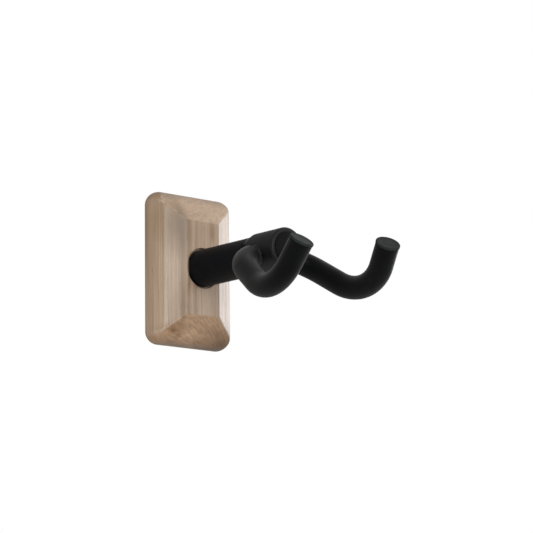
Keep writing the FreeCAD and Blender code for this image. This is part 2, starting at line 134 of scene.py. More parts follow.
# Weld beads at the arms' roots: each size is that of a dip, and its RISE is what a crest adds
WELD_RIPPLES = 13
WELD_FOOT = 6.05 * MM
WELD_FOOT_RISE = 0.4 * MM
WELD_HEEL = 14.3 * MM
WELD_HEEL_RISE = 0.25 * MM
WELD_BULGE = 0.12 * MM
WELD_BULGE_RISE = 0.22 * MM

# Maple's colours, from the paler wood of the painted edge highlight to the pores
EDGE_HIGHLIGHT_WOOD = (0.80, 0.66, 0.53)
LOW_BOARD = (0.67, 0.485, 0.34)
HIGH_BOARD = (0.56, 0.405, 0.275)
BROAD_BAND = (0.44, 0.30, 0.19)
LATE_WOOD = (0.34, 0.215, 0.13)
STREAK = (0.33, 0.22, 0.14)
FIBRE = (0.30, 0.205, 0.135)
PORE = (0.22, 0.145, 0.09)

# Growth rings lie round the pith, a line along Z behind the block and to its left. PITH_TAPER is the
# little that height counts, and ROUND_PITH points roughly along the rings
PITH_X = -30.0 * MM
PITH_Y = 85.0 * MM
PITH_TAPER = 0.012
ROUND_PITH = (0.96, 0.26, 0)
RINGS_PER_METRE = 780.0

# Tints: painted shade next to the wall, on the top and bottom rims and in the recess, and end grain
# darker where the finish sinks in, with painted shade added at the low end
RIM_SHADE_TINT = (0.56, 0.53, 0.49)
LOW_END_GRAIN_SHADE_TINT = (1.0, 0.88, 0.75)
HIGH_END_TINT = (0.99, 0.92, 0.82)
RECESS_SHADE_TINT = (0.52, 0.43, 0.36)

# Darker zones of the board: middle (x, z) and reach (half width, half height) in millimetres, and tint
DARK_ZONES = [
    ((-6.0, 22.0), (21.0, 23.0), (0.86, 0.84, 0.80)),
    ((-19.0, 27.0), (12.0, 25.0), (0.58, 0.50, 0.33)),
    ((-15.0, 22.0), (5.0, 24.0), (0.74, 0.69, 0.55)),
    ((-14.0, -6.0), (3.6, 44.0), (0.66, 0.59, 0.45)),
    ((7.5, 23.0), (3.0, 10.0), (0.70, 0.59, 0.46)),
    ((25.0, -45.0), (30.0, 18.0), (0.49, 0.45, 0.37)),
    ((-18.0, -38.0), (13.0, 6.0), (0.76, 0.70, 0.60)),
    ((-18.5, -38.5), (4.5, 2.2), (0.66, 0.54, 0.42)),
]

# Camera, fitted to the hanger's size and place
CAMERA_PLACE = Vector((-0.9164, -1.1395, -0.2780))
CAMERA_HEADING = math.radians(40.932)
CAMERA_PITCH = math.radians(10.933)
CAMERA_ROLL = math.radians(-0.731)
CAMERA_LENS = 165.32

# The light of the surroundings grows from dark to bright along WORLD_LEAN
WORLD_LEAN = (0.0, 0.0, 0.35)
WORLD_DARK = (0.10, 0.10, 0.10)
WORLD_BRIGHT = (0.48, 0.48, 0.48)

# Softboxes, all aimed at LIT_PLACE: place, (width, height), radiance and colour
LIT_PLACE = Vector((0, -0.06, 0))
WHITE = (1, 1, 1)
COOL_WHITE = (0.96, 1.0, 1.05)
SOFTBOXES = {
    "right_softbox": ((1.25, -0.02, 0.25), (0.55, 0.8), 3.8, COOL_WHITE),
    "front_softbox": ((-0.48, -1.62, 0.28), (0.9, 0.9), 4.6, WHITE),
    "left_softbox": ((-1.5, -0.35, -0.25), (0.8, 0.8), 1.3, WHITE),
    "back_right_softbox": ((1.0, 0.75, 0.30), (0.7, 1.0), 1.4, WHITE),
    "front_right_softbox": ((1.05, -1.20, 0.36), (0.8, 0.8), 1.2, WHITE),
    "top_softbox": ((0.70, -0.22, 0.95), (0.8, 0.8), 1.2, WHITE),
}

FLOOR_HALF_SIZE = 12.0
FLOOR_HEIGHT = -1.0
FLOOR_GLOW = 0.38

# The stops allow the yoke equal turns each way from upright, which gives its turn at rest
YOKE_RANGE = frame["joints"][0]["range_deg"]
REST_SWIVEL = math.radians(-sum(YOKE_RANGE) / 2)


# ---------------------------------------------------------------- object and mesh helpers


def new_object(name, data):
    made = bpy.data.objects.new(name, data)
    bpy.context.scene.collection.objects.link(made)
    return made


def finish_mesh(name, points, faces, material, sharp_degrees=35):
    mesh = bpy.data.meshes.new(name)
    mesh.from_pydata([tuple(p) for p in points], [], faces)
    mesh.validate()
    mesh.shade_smooth()
    mesh.set_sharp_from_angle(angle=math.radians(sharp_degrees))
    mesh.materials.append(material)
    return new_object(name, mesh)


def skin(name, rings, material, ends, sharp_degrees=35):
    """A mesh of quads through rings with the same number of points. Its ends are "joined" to each
    other, or closed with "fans"."""
    count = len(rings[0])
    points = [p for ring in rings for p in ring]
    faces = []
    spans = len(rings) if ends == "joined" else len(rings) - 1
    for span in range(spans):
        low = span * count
        high = (span + 1) % len(rings) * count
        for k in range(count):
            after = (k + 1) % count
            faces.append((low + k, low + after, high + after, high + k))
    if ends == "fans":
        for start, flip in ((0, True), ((len(rings) - 1) * count, False)):
            ring = points[start : start + count]
            points.append(sum(ring, Vector()) / count)
            middle = len(points) - 1
            for k in range(count):
                face = (start + k, start + (k + 1) % count, middle)
                faces.append(tuple(reversed(face)) if flip else face)
    return finish_mesh(name, points, faces, material, sharp_degrees)


def circle_ring(centre, across, up, radius, count):
    turns = [2 * math.pi * k / count for k in range(count)]
    return [centre + across * (radius * math.cos(a)) + up * (radius * math.sin(a)) for a in turns]


def turned_rings(profile, count, start=Vector((0, 0, 0)), axis=OUTWARD):
    """Rings for a turned piece: the profile is (radius, distance along the axis)."""
    across = axis.orthogonal().normalized()
    up = axis.cross(across)
    return [circle_ring(start + axis * along, across, up, radius, count) for radius, along in profile]


def shares(steps):
    """Even shares of a whole: above 0, up to and including 1."""
    return [step / steps for step in range(1, steps + 1)]


def mixed(first, second, share):
    """The pair of numbers that lies part of the way from one pair to another."""
    return (first[0] + (second[0] - first[0]) * share, first[1] + (second[1] - first[1]) * share)


def arc(centre, radius, from_degrees, to_degrees, steps=8):
    """Points of an arc, as pairs."""
    points = []
    for step in range(steps + 1):
        angle = math.radians(from_degrees + (to_degrees - from_degrees) * step / steps)
        points.append((centre[0] + radius * math.cos(angle), centre[1] + radius * math.sin(angle)))
    return points


def mirrored_copy(piece, name):
    """The left-hand copy of a right-hand piece."""
    mesh = piece.data.copy()
    mesh.transform(Matrix.Diagonal((-1, 1, 1, 1)))
    mesh.flip_normals()
    mesh.name = name
    return new_object(name, mesh)


def to_rest(piece):
    """Turn a piece of the upright yoke to its rest position."""
    piece.data.transform(Matrix.Rotation(REST_SWIVEL, 4, OUTWARD))


def stand_for(piece, body, node):
    """Let a piece replace a CAD node and ride on the same body."""
    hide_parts(node)
    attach(piece, body)


# ---------------------------------------------------------------- materials


class Look:
    """A node material built round one Principled shader."""

    def __init__(self, name, **constants):
        self.material = bpy.data.materials.new(name)
        self.material.use_nodes = True
        self.tree = self.material.node_tree
        self.shader = self.tree.nodes["Principled BSDF"]
        for socket, value in constants.items():
            self.shader.inputs[socket.replace("_", " ")].default_value = value
        self.place = self.node("ShaderNodeTexCoord").outputs["Object"]

    def node(self, kind, **settings):
        made = self.tree.nodes.new(kind)
        for key, value in settings.items():
            setattr(made, key, value)
        return made

    def link(self, source, target):
        self.tree.links.new(source, target)

    def set(self, socket, source):
        self.link(source, self.shader.inputs[socket])

    def scaled(self, scale, shift=(0, 0, 0), vector=None):
        made = self.node("ShaderNodeMapping")
        made.inputs["Scale"].default_value = scale
        made.inputs["Location"].default_value = shift
        self.link(vector or self.place, made.inputs["Vector"])
        return made.outputs["Vector"]

    def noise(self, scale, detail, roughness=0.5, vector=None):
        made = self.node("ShaderNodeTexNoise")
        made.inputs["Scale"].default_value = scale
        made.inputs["Detail"].default_value = detail
        made.inputs["Roughness"].default_value = roughness
        self.link(vector or self.place, made.inputs["Vector"])
        return made.outputs["Fac"]

    def math(self, operation, first, second=0.0, third=0.0):
        made = self.node("ShaderNodeMath", operation=operation)
        for socket, value in zip(made.inputs, (first, second, third)):
            if isinstance(value, (int, float)):
                socket.default_value = value
            else:
                self.link(value, socket)
        return made.outputs["Value"]

    def vector_math(self, operation, *sources):
        """A vector where the operation is ADD, and otherwise a number."""
        made = self.node("ShaderNodeVectorMath", operation=operation)
        for socket, source in zip(made.inputs, sources):
            if isinstance(source, tuple):
                socket.default_value = source
            else:
                self.link(source, socket)
        return made.outputs["Vector" if operation == "ADD" else "Value"]

    def along(self, direction, vector=None):
        """How far a vector, or else the place itself, reaches in a direction."""
        return self.vector_math("DOT_PRODUCT", vector or self.place, direction)

    def combined(self, **parts):
        """A vector from sockets given as X, Y and Z. A part that isn't given is 0."""
        made = self.node("ShaderNodeCombineXYZ")
        for axis, source in parts.items():
            self.link(source, made.inputs[axis])
        return made.outputs["Vector"]

    def spread(self, value, low, high, to_low=0.0, to_high=1.0):
        made = self.node("ShaderNodeMapRange")
        self.link(value, made.inputs["Value"])
        made.inputs["From Min"].default_value = low
        made.inputs["From Max"].default_value = high
        made.inputs["To Min"].default_value = to_low
        made.inputs["To Max"].default_value = to_high
        return made.outputs["Result"]

    def ramp(self, value, *stops):
        """A grey that follows stops, each a (position, brightness) pair."""
        made = self.node("ShaderNodeValToRGB")
        elements = made.color_ramp.elements
        while len(elements) < len(stops):
            elements.new(0.5)
        for element, (position, grey) in zip(elements, stops):
            element.position = position
            element.color = (grey, grey, grey, 1.0)
        self.link(value, made.inputs["Fac"])
        return made.outputs["Color"]

    def mix(self, share, first, second, blend="MIX"):
        made = self.node("ShaderNodeMix", data_type="RGBA", blend_type=blend)
        # A Mix node's factor, colours and colour result share their names with sockets of other types
        sockets = [made.inputs[0], made.inputs[6], made.inputs[7]]
        for socket, value in zip(sockets, (share, first, second)):
            if isinstance(value, (int, float)):
                socket.default_value = value
            elif isinstance(value, tuple):
                socket.default_value = (*value, 1.0)
            else:
                self.link(value, socket)
        return made.outputs[2]

    def tint(self, share, colour, tint):
        """A colour multiplied by a tint, over a share of the surface."""
        return self.mix(share, colour, self.mix(1.0, colour, tint, "MULTIPLY"))

    def bump(self, height, distance, strength, before=None):
        made = self.node("ShaderNodeBump")
        made.inputs["Distance"].default_value = distance
        made.inputs["Strength"].default_value = strength
        self.link(height, made.inputs["Height"])
        if before is not None:
            self.link(before, made.inputs["Normal"])
        return made.outputs["Normal"]


def wavy_place(look):
    """Places pushed about a little, so that the grain wanders as it does in a real board."""
    warp = look.noise(1.0, 3.0, 0.5, look.scaled((34, 34, 8)))
    sideways = look.spread(warp, 0.2, 0.8, -1.2 * MM, 1.2 * MM)
    inwards = look.spread(warp, 0.2, 0.8, 0.5 * MM, -0.5 * MM)
    return look.vector_math("ADD", look.place, look.combined(X=sideways, Y=inwards))


def late_wood_bands(look, from_pith):
    """Growth rings: each darkens slowly to its late wood, and then ends sharply."""
    across_ring = look.math("FRACT", look.math("MULTIPLY", from_pith, RINGS_PER_METRE))
    return look.ramp(across_ring, (0.0, 0.6), (0.16, 0.0), (0.6, 0.25), (0.9, 0.9), (1.0, 0.6))


def grain_colour(look, grain, late_wood, fibres, pores, ends):
    """The board with its bands, streaks, rings, fibres and pores, each laid over the one before. At
    the ends the cut rings show more, and the fibres and pores less."""
    # The board is a little paler towards its lower end
    height = look.along((0, 0, 1))
    colour = look.mix(look.spread(height, -18.0 * MM, 26.0 * MM), LOW_BOARD, HIGH_BOARD)
    bands = look.noise(1.0, 2.0, 0.5, look.scaled((210, 40, 6), (3.1, 0, 0), grain))
    streaks = look.noise(1.0, 4.0, 0.6, look.scaled((1300, 260, 9), vector=grain))
    ring_patches = look.spread(look.noise(150.0, 2.0), 0.35, 0.6, 0.35, 1.0)
    ring_strength = look.math("MULTIPLY", look.spread(ends, 0.0, 1.0, 0.24, 0.40), ring_patches)
    along_grain = look.spread(ends, 0.0, 1.0, 1.0, 0.3)
    layers = [
        (look.spread(bands, 0.34, 0.68, 0.0, 0.7), BROAD_BAND),
        (look.spread(streaks, 0.42, 0.68, 0.0, 0.72), STREAK),
        (look.math("MULTIPLY", late_wood, ring_strength), LATE_WOOD),
        (look.math("MULTIPLY", look.spread(fibres, 0.48, 0.76, 0.0, 0.4), along_grain), FIBRE),
        (look.math("MULTIPLY", look.spread(pores, 0.62, 0.76, 0.0, 0.45), along_grain), PORE),
    ]
    for share, layer in layers:
        colour = look.mix(share, colour, layer)
    return colour


def darken_zones(look, colour, wavy):
    """Each zone's tint is full over its middle quarter and fades out towards its reach."""
    for (x, z), (half_width, half_height), tint in DARK_ZONES:
        scale = (1 / (half_width * MM), 0, 1 / (half_height * MM))
        shift = (-x / half_width, 0, -z / half_height)
        reach = look.vector_math("LENGTH", look.scaled(scale, shift, wavy))
        colour = look.tint(look.spread(reach, 0.25, 1.0, 1.0, 0.0), colour, tint)
    return colour


def bevel_fall(look, direction, slope, start):
    """How far a bevel has dropped below the flat, at a distance from the block's middle."""
    from_middle = look.math("ABSOLUTE", look.along(direction))
    return look.math("MULTIPLY_ADD", from_middle, slope, -slope * start)


def edge_highlight_share(look, out):
    """How much painted highlight, paler wood, shows along the flat's edges and the four hips."""
    side_fall = bevel_fall(look, (1, 0, 0), SIDE_SLOPE, FLAT_HALF_WIDTH)
    end_fall = bevel_fall(look, (0, 0, 1), END_SLOPE, FLAT_HALF_HEIGHT)
    fall = look.math("MAXIMUM", side_fall, end_fall)
    from_hip = look.math("ABSOLUTE", look.math("SUBTRACT", side_fall, end_fall))
    near_hip = look.spread(from_hip, 0.0, 0.7 * MM, 1.0, 0.0)
    on_hip = look.math("MULTIPLY", near_hip, look.spread(fall, 0.0, 0.2 * MM))
    on_flat_edge = look.spread(look.math("ABSOLUTE", fall), 0.0, 0.3 * MM, 0.35, 0.0)
    on_face = look.spread(out, 15.5 * MM, 18.5 * MM, 0.0, 0.5)
    wear_and_highlight = look.math("MULTIPLY", look.math("MAXIMUM", on_hip, on_flat_edge), on_face)
    patches = look.spread(look.noise(180.0, 3.0), 0.35, 0.6, 0.3, 1.0)
    return look.math("MULTIPLY", wear_and_highlight, patches)


def painted_light_and_end_grain(look, colour, ends):
    """Painted highlight on the flat's edges and hips, painted shade next to the wall, on the top and
    bottom rims and in the recess, and end grain darker where the finish sinks in, with painted shade
    added at the low end."""
    out = look.along((0, -1, 0))
    height = look.along((0, 0, 1))
    # Painted highlight: paler wood along the flat's edges and the hips, where the rounded edges would
    # catch the light
    colour = look.mix(edge_highlight_share(look, out), colour, EDGE_HIGHLIGHT_WOOD)
    # Painted shade: darker next to the wall, which shades the rim's back, and on the top and bottom
    # rims, which get less light
    near_wall = look.spread(out, 2.0 * MM, 8.5 * MM, 1.0, 0.0)
    on_end_rims = look.spread(look.math("ABSOLUTE", height), 40.0 * MM, BLOCK_HEIGHT / 2)
    colour = look.tint(look.math("MAXIMUM", near_wall, on_end_rims), colour, RIM_SHADE_TINT)
    # End grain is darker where the finish sinks in; the warmer, darker tint at the low end is painted
    # shade, as the lower bevel faces down, away from the light
    end_tint = look.mix(look.spread(height, -20.0 * MM, 20.0 * MM), LOW_END_GRAIN_SHADE_TINT, HIGH_END_TINT)
    colour = look.tint(ends, colour, end_tint)
    # Painted shade: the wood in the recess round the stem is darkened as the shadowed gap
    from_axis = look.vector_math("LENGTH", look.scaled((1, 0, 1)))
    recess_shade = look.spread(from_axis, RECESS_RADIUS - 0.1 * MM, RECESS_RADIUS + RECESS_EDGE, 1.0, 0.0)
    return look.tint(recess_shade, colour, RECESS_SHADE_TINT)


def maple():
    """Flat-sawn maple: growth rings nearly parallel to the wall, fine fibres and pores along Z."""
    look = Look("maple", Specular_IOR_Level=0.6, Coat_Weight=0.2, Coat_Roughness=0.25)
    wavy = wavy_place(look)
    to_pith = look.scaled((1, 1, PITH_TAPER), (-PITH_X, -PITH_Y, 0), wavy)
    from_pith = look.vector_math("LENGTH", to_pith)
    grain = look.combined(X=from_pith, Y=look.along(ROUND_PITH, wavy), Z=look.along((0, 0, 1), wavy))
    late_wood = late_wood_bands(look, from_pith)
    fibres = look.noise(1.0, 3.0, 0.6, look.scaled((3200, 1500, 45), vector=grain))
    pores = look.noise(1.0, 1.0, 0.5, look.scaled((4200, 2600, 220), (1.7, 0, 0), grain))

    # The fibres are cut across at the two ends
    facing = look.node("ShaderNodeNewGeometry").outputs["Normal"]
    ends = look.spread(look.math("ABSOLUTE", look.along((0, 0, 1), facing)), 0.25, 0.55)
    colour = grain_colour(look, grain, late_wood, fibres, pores, ends)
    colour = darken_zones(look, colour, wavy)
    look.set("Base Color", painted_light_and_end_grain(look, colour, ends))
    look.set("Roughness", look.spread(fibres, 0.3, 0.7, 0.32, 0.44))
    relief = look.bump(fibres, 0.06 * MM, 0.6)
    relief = look.bump(pores, 0.05 * MM, 0.5, relief)
    look.set("Normal", look.bump(late_wood, 0.05 * MM, 0.4, relief))
    return look.material


def rubber(name, dark, light, grain, roughness, relief=0.04 * MM, sheen=0.02):
    """Moulded rubber: a fine pebble, slow changes of tone and a few paler rubbed places."""
    look = Look(name, Specular_IOR_Level=0.06, Sheen_Weight=sheen, Sheen_Roughness=0.45)
    slow = look.noise(60.0, 3.0, 0.55)
    wear_and_highlight = look.noise(170.0, 5.0, 0.65)
    pebble = look.noise(grain, 3.0, 0.55)
    colour = look.mix(look.spread(slow, 0.3, 0.7), dark, light)
    pale = tuple(channel * 1.9 + 0.004 for channel in light)
    look.set("Base Color", look.mix(look.spread(wear_and_highlight, 0.56, 0.78, 0.0, 0.45), colour, pale))
    look.set("Roughness", look.spread(wear_and_highlight, 0.35, 0.75, roughness - 0.06, roughness + 0.1))
    look.set("Normal", look.bump(slow, 0.15 * MM, 0.3, look.bump(pebble, relief, 0.6)))
    return look.material


def powder_coat():
    """Black powder coat on steel, with the fine orange-peel texture that it dries to."""
    look = Look("powder_coat", Specular_IOR_Level=0.28)
    peel = look.noise(1500.0, 2.0)
    slow = look.noise(90.0, 3.0)
    look.set("Base Color", look.mix(slow, (0.006, 0.006, 0.007), (0.012, 0.012, 0.013)))
    look.set("Roughness", look.spread(slow, 0.3, 0.7, 0.44, 0.58))
    look.set("Normal", look.bump(peel, 0.05 * MM, 0.6))
    return look.material


def steel(name, light, dark, roughness, turned=False):
    """Steel with drawn or turned marks, slightly uneven in tone and gloss."""
    look = Look(name, Metallic=1.0, Anisotropic=0.25)
    scale = (900, 9000, 900) if turned else (2400, 2400, 160)
    marks = look.noise(1.0, 3.0, 0.6, look.scaled(scale))
    slow = look.noise(120.0, 4.0, 0.6)
    look.set("Base Color", look.mix(look.spread(slow, 0.3, 0.72), light, dark))
    uneven = look.math("ADD", look.math("MULTIPLY", marks, 0.16), look.math("MULTIPLY", slow, 0.14))
    look.set("Roughness", look.math("ADD", uneven, roughness - 0.14))
    look.set("Normal", look.bump(marks, 0.02 * MM, 0.5))
    return look.material


def nylon():
    """Natural nylon: off-white, slightly translucent, with faint turning marks."""
    look = Look("nylon", Roughness=0.42, Subsurface_Weight=0.15, Subsurface_Scale=1.5 * MM)
    marks = look.noise(1.0, 2.0, 0.5, look.scaled((500, 12000, 500)))
    slow = look.noise(140.0, 3.0)
    look.set("Base Color", look.mix(slow, (0.78, 0.75, 0.66), (0.70, 0.66, 0.56)))
    look.set("Normal", look.bump(marks, 0.02 * MM, 0.4))
    return look.material


def pale_floor():
    """Matt and pale. It glows a little to look at, but that glow casts no light on the hanger."""
    look = Look("pale_floor", Roughness=0.85, Emission_Color=(*WHITE, 1))
    slow = look.noise(2.5, 3.0)
    look.set("Base Color", look.mix(slow, (0.80, 0.80, 0.80), (0.84, 0.84, 0.84)))
    seen = look.node("ShaderNodeLightPath").outputs["Is Camera Ray"]
    look.set("Emission Strength", look.math("MULTIPLY", seen, FLOOR_GLOW))
    return look.material


# ---------------------------------------------------------------- wood block

# Points along an outline's long sides, short ends and corners
SIDE_POINTS = 72
END_POINTS = 40
CORNER_POINTS = 20


def rounded_rectangle(half_width, half_height, radius):
    """An outline as (x, z) pairs. Each side and corner has a fixed number of points."""
    corners = []
    for right, up, start in ((1, 1, 0), (-1, 1, 90), (-1, -1, 180), (1, -1, 270)):
        centre = (right * (half_width - radius), up * (half_height - radius))
        corners.append(arc(centre, radius, start, start + 90, CORNER_POINTS - 1))
    outline = []
    for number, corner in enumerate(corners):
        after = corners[(number + 1) % 4]
        steps = END_POINTS if number % 2 == 0 else SIDE_POINTS
        outline += corner
        outline += [mixed(corner[-1], after[0], share) for share in shares(steps)[:-1]]
    return outline


def round_outline(outline, radius):
    """The circle whose points lie in the same directions as an outline's."""
    circle = []
    for x, z in outline:
        size = math.hypot(x, z)
        circle.append((x / size * radius, z / size * radius))
    return circle


def between(first, second, share):
    """An outline part of the way from one outline to another."""
    return [mixed(a, b, share) for a, b in zip(first, second)]


def soft_lower(a, b, reach):
    """The lower of two heights, with the crease between them rounded off."""
    blend = max(reach - abs(a - b), 0.0) / reach
    return min(a, b) - blend * blend * reach / 4


def bevel_height(x, z):
    """How far the four bevels and the flat stand from the wall, with their edges sanded round."""
    side = BLOCK_DEPTH - SIDE_SLOPE * (abs(x) - FLAT_HALF_WIDTH)
    end = BLOCK_DEPTH - END_SLOPE * (abs(z) - FLAT_HALF_HEIGHT)
    slope = soft_lower(side, end, HIP_BLEND)
    height = soft_lower(slope, BLOCK_DEPTH, FLAT_BLEND)
    return height + noise.noise(Vector((x, 0.3, z)) * FACE_WAVES_PER_METRE) * FACE_WAVE


def level_ring(outline, out):
    """An outline as points at one distance from the wall."""
    return [Vector((x, -out, z)) for x, z in outline]


def front_ring(outline):
    """An outline as points on the bevels and the flat."""
    return [Vector((x, -bevel_height(x, z), z)) for x, z in outline]


def outline_of(ring):
    return [(point.x, point.z) for point in ring]


def inset_outline(inset):
    """The block's own outline, moved in all round."""
    corner = max(BLOCK_CORNER - inset, SMALLEST_CORNER)
    return rounded_rectangle(BLOCK_WIDTH / 2 - inset, BLOCK_HEIGHT / 2 - inset, corner)


def hip_outline(half_width):
    """An outline whose corners lie on the four hips, where the side and end bevels meet."""
    along_hip = (half_width - FLAT_HALF_WIDTH) * SIDE_SLOPE / END_SLOPE
    return rounded_rectangle(half_width, FLAT_HALF_HEIGHT + along_hip, HIP_CORNER)


def rear_rim_rings():
    """Rings from the wall to the block's widest line: a chamfer, then a round that meets it."""
    rear_inset = RIM_REAR_RADIUS * (1 - math.cos(RIM_REAR_TURN))
    chamfer_out = RIM_WIDEST_OUT - RIM_REAR_RADIUS * math.sin(RIM_REAR_TURN)
    rings = []
    chamfer_steps = 5
    for step in range(chamfer_steps):
        out = chamfer_out * step / chamfer_steps
        rings.append(level_ring(inset_outline(rear_inset + chamfer_out - out), out))
    round_steps = 14
    for step in range(round_steps):
        turn = RIM_REAR_TURN * (1 - step / round_steps)
        outline = inset_outline(RIM_REAR_RADIUS * (1 - math.cos(turn)))
        rings.append(level_ring(outline, RIM_WIDEST_OUT - RIM_REAR_RADIUS * math.sin(turn)))
    return rings


def front_rim_rings():
    """Rings from the block's widest line over the front round to a line well inside the bevels' feet.
    The crease between round and bevel is rounded more, the more their slopes differ."""
    rings = []
    for share in [0.0] + shares(56):
        turn = RIM_FRONT_TURN * share
        arch = RIM_WIDEST_OUT + RIM_FRONT_RADIUS * math.sin(turn)
        steepness = 1 / math.tan(max(turn, 0.01)) - END_SLOPE
        blend = min(RIM_BLEND_MOST, RIM_BLEND_RATE * steepness**2)
        outline = inset_outline(RIM_FRONT_RADIUS * (1 - math.cos(turn)))
        rings.append([Vector((x, -soft_lower(arch, bevel_height(x, z), blend), z)) for x, z in outline])
    return rings


def face_rings(first):
    """Rings over the bevels and the flat, from the first outline to the rounded rim of the recess."""
    hip_start = 20.0 * MM
    edge_zone = 1.2 * MM
    zone_start = FLAT_HALF_WIDTH + edge_zone
    start = hip_outline(hip_start)
    rings = [front_ring(between(first, start, share)) for share in shares(12)]
    widths = [hip_start + (zone_start - hip_start) * share for share in shares(22)]
    widths += [zone_start - 2 * edge_zone * share for share in shares(16)]
    for half_width in widths:
        outline = hip_outline(half_width)
        rings.append(front_ring(outline))
    brim = round_outline(outline, RECESS_RADIUS + RECESS_EDGE)
    rings += [front_ring(between(outline, brim, share)) for share in shares(24)]
    for share in shares(4):
        turn = math.radians(90) * share
        edge = round_outline(outline, RECESS_RADIUS + RECESS_EDGE * (1 - math.sin(turn)))
        sunk = Vector((0, RECESS_EDGE * (1 - math.cos(turn)), 0))
        rings.append([point + sunk for point in front_ring(edge)])
    return rings


def block_rings():
    """Rings over the block's outside, in through the hole, and out over its back."""
    rings = rear_rim_rings() + front_rim_rings()
    outline = outline_of(rings[-1])
    rings += face_rings(outline)
    recess = round_outline(outline, RECESS_RADIUS)
    seat = round_outline(outline, WASHER_SEAT_RADIUS)
    stud_hole = round_outline(outline, STUD_HOLE_RADIUS)
    nut_room = round_outline(outline, NUT_ROOM_RADIUS)
    pocket = rounded_rectangle(POCKET_WIDTH / 2, POCKET_HEIGHT / 2, POCKET_CORNER)
    holes = [
        (recess, RECESS_FLOOR),
        (between(recess, seat, 0.5), RECESS_FLOOR),
        (seat, RECESS_FLOOR),
        (seat, WASHER_SEAT_OUT),
        (stud_hole, WASHER_SEAT_OUT),
        (stud_hole, NUT_ROOM_DEPTH),
        (nut_room, NUT_ROOM_DEPTH),
        (nut_room, POCKET_DEPTH),
    ]
    rings += [level_ring(hole, out) for hole, out in holes]
    rings += [level_ring(between(nut_room, pocket, share), POCKET_DEPTH) for share in shares(12)]
    rings += [level_ring(pocket, POCKET_DEPTH / 2), level_ring(pocket, 0.0)]
    heel = outline_of(rings[0])
    rings += [level_ring(between(pocket, heel, share), 0.0) for share in (0.33, 0.67)]
    return rings


def make_block():
    block = skin("maple_block", block_rings(), maple(), "joined", sharp_degrees=50)
    stand_for(block, "base", "wood_base")


# ---------------------------------------------------------------- stem


def make_stem(material):
    """A rubber tube over the shaft. Its back edge is rounded where it meets the wood."""
    back_round = (STEM_RADIUS - STEM_BACK_EDGE, RECESS_FLOOR + STEM_BACK_EDGE)
    front_round = (STEM_RADIUS - STEM_FRONT_EDGE, STEM_FRONT - STEM_FRONT_EDGE)
    length = front_round[1] - back_round[1]
    profile = [(SHAFT_RADIUS, RECESS_FLOOR)]
    profile += arc(back_round, STEM_BACK_EDGE, -90, 0)
    profile += [(STEM_RADIUS, back_round[1] + length * share) for share in shares(24)[:-1]]
    profile += arc(front_round, STEM_FRONT_EDGE, 0, 90, 5)
    profile += [(SHAFT_RADIUS, STEM_FRONT), (SHAFT_RADIUS, (STEM_FRONT + RECESS_FLOOR) / 2)]
    stem = skin("stem_tube", turned_rings(profile, 128), material, "joined")
    stand_for(stem, "base", "stem_sleeve")


# ---------------------------------------------------------------- arms


def bend_points(before, corner, after, radius, steps):
    """Points along the arc that rounds a corner of the route."""
    back = (before - corner).normalized()
    forward = (after - corner).normalized()
    half = back.angle(forward) / 2
    reach = radius / math.tan(half)
    centre = corner + (back + forward).normalized() * (radius / math.sin(half))
    start = corner + back * reach - centre
    stop = corner + forward * reach - centre
    turn = start.angle(stop)
    points = []
    for share in [0.0] + shares(steps):
        weight_start = math.sin((1 - share) * turn) / math.sin(turn)
        weight_stop = math.sin(share * turn) / math.sin(turn)
        points.append(centre + start * weight_start + stop * weight_stop)
    return points


def arm_line():
    """The right arm's centre line as close points."""
    line = [ARM_ROUTE[0]]
    for number, radius in enumerate(ARM_BENDS):
        line += bend_points(*ARM_ROUTE[number : number + 3], radius, 48)
    line.append(ARM_ROUTE[-1])
    return line


def along(line, distance):
    """The point and direction at a distance along a line of points."""
    for first, second in zip(line, line[1:]):
        span = second - first
        if distance <= span.length or second is line[-1]:
            break
        distance -= span.length
    direction = span.normalized()
    return first + direction * distance, direction


ARM_LINE = arm_line()
ARM_LENGTH = sum((b - a).length for a, b in zip(ARM_LINE, ARM_LINE[1:]))
ARM_ROOT = ARM_ROUTE[0]
ARM_TIP = ARM_ROUTE[-1]
ROOT_DIRECTION = (ARM_ROUTE[1] - ARM_ROOT).normalized()
TIP_DIRECTION = (ARM_TIP - ARM_ROUTE[2]).normalized()
ROOT_ACROSS = ROOT_DIRECTION.cross(OUTWARD).normalized()


def tube_rings(profile, count):
    """Rings along the arm for (distance, radius) pairs, with the section carried round the bends."""
    rings = []
    across = ROOT_ACROSS
    for distance, radius in profile:
        centre, direction = along(ARM_LINE, distance)
        across = (across - direction * across.dot(direction)).normalized()
        up = direction.cross(across)
        rings.append(circle_ring(centre, across, up, radius, count))
    return rings


def make_arm(material):
    """The right arm's rubber tube, slightly uneven as moulded, with its bore and rounded ends."""
    stop = ARM_LENGTH - TIP_THICKNESS
    first_round = (ARM_START + ARM_END_ROUND, ARM_RADIUS - ARM_END_ROUND)
    last_round = (stop - ARM_END_ROUND, ARM_RADIUS - ARM_END_ROUND)
    run = last_round[0] - first_round[0]
    outside = arc(first_round, ARM_END_ROUND, 180, 90, 4)
    outside += [(first_round[0] + run * share, ARM_RADIUS) for share in shares(150)[:-1]]
    outside += arc(last_round, ARM_END_ROUND, 90, 0, 4)
    bore = [(stop - (stop - ARM_START) * share, ROD_RADIUS) for share in [0.0] + shares(60)]
    rings = tube_rings(outside + bore, 80)
    for ring in rings[: len(outside)]:
        centre = sum(ring, Vector()) / len(ring)
        for point in ring:
            swell = noise.noise(point * ARM_SWELLS_PER_METRE) * ARM_SWELL
            point += (point - centre).normalized() * swell
    return skin("right_arm_tube", rings, material, "joined", sharp_degrees=60)


